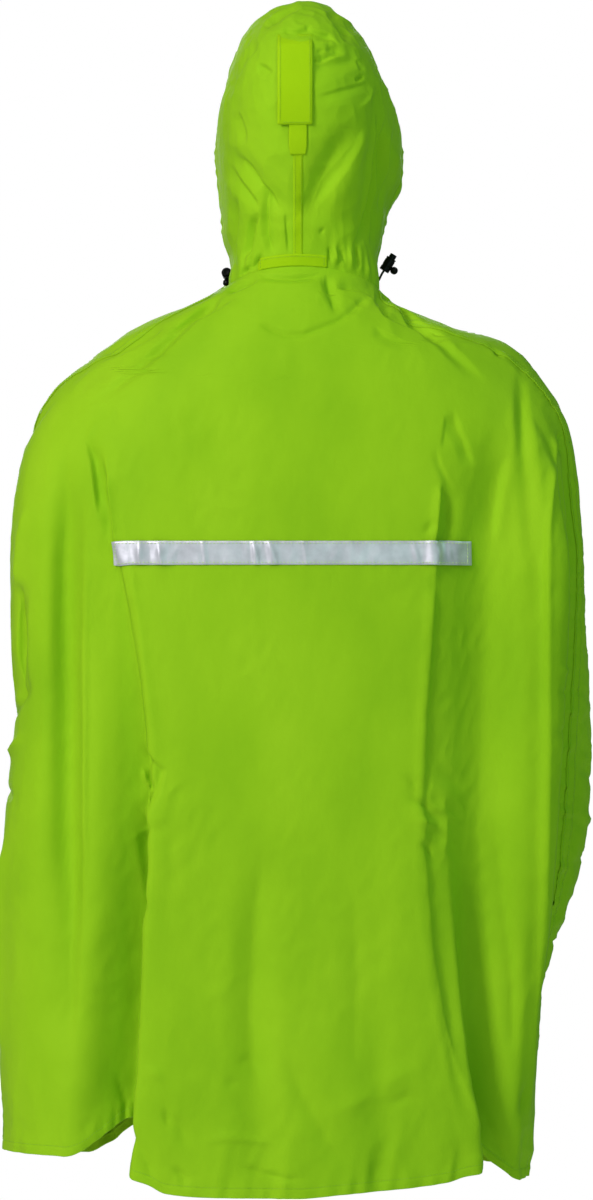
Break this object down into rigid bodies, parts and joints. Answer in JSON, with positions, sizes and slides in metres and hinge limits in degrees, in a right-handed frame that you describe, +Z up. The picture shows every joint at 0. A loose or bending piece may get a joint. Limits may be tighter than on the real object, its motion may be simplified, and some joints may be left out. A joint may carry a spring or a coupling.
{
  "type": "rain poncho",
  "caption": "Hooded rain poncho filled out as worn and hollow inside, with a closed sleeveless body, a reflective strip across the back and cord locks at the hood.",
  "frame": {"origin": "middle of the neck, level with the hood's seam at the nape, where the garment rests on its wearer", "axes": "+Z up, +X the wearer's left, -Y the way the wearer faces, so +Y is the back"},
  "size_m": [0.6737, 0.3228, 1.3499],
  "materials": {
    "cloth": "coated nylon, soft satin sheen",
    "tape": "coated nylon, satin, doubled",
    "reflective": "silver reflective tape",
    "black_plastic": "moulded, semi-gloss",
    "cord": "braided elastic cord, matt"
  },
  "bodies": {
    "root": {"back_panel": "cloth", "front_panel": "cloth", "hood_left": "cloth", "hood_right": "cloth", "hood_seam_tape": "tape", "nape_patch": "tape", "reflective_strip": "reflective", "side_seam_left": "cloth", "side_seam_right": "cloth", "front_placket": "cloth", "hood_strap": "tape", "hood_tab": "tape", "cord_lock_right": "black_plastic", "cord_bead_right": "black_plastic", "cord_right": "cord", "cord_lock_left": "black_plastic", "cord_bead_left": "black_plastic", "cord_left": "cord"}
  },
  "joints": []
}
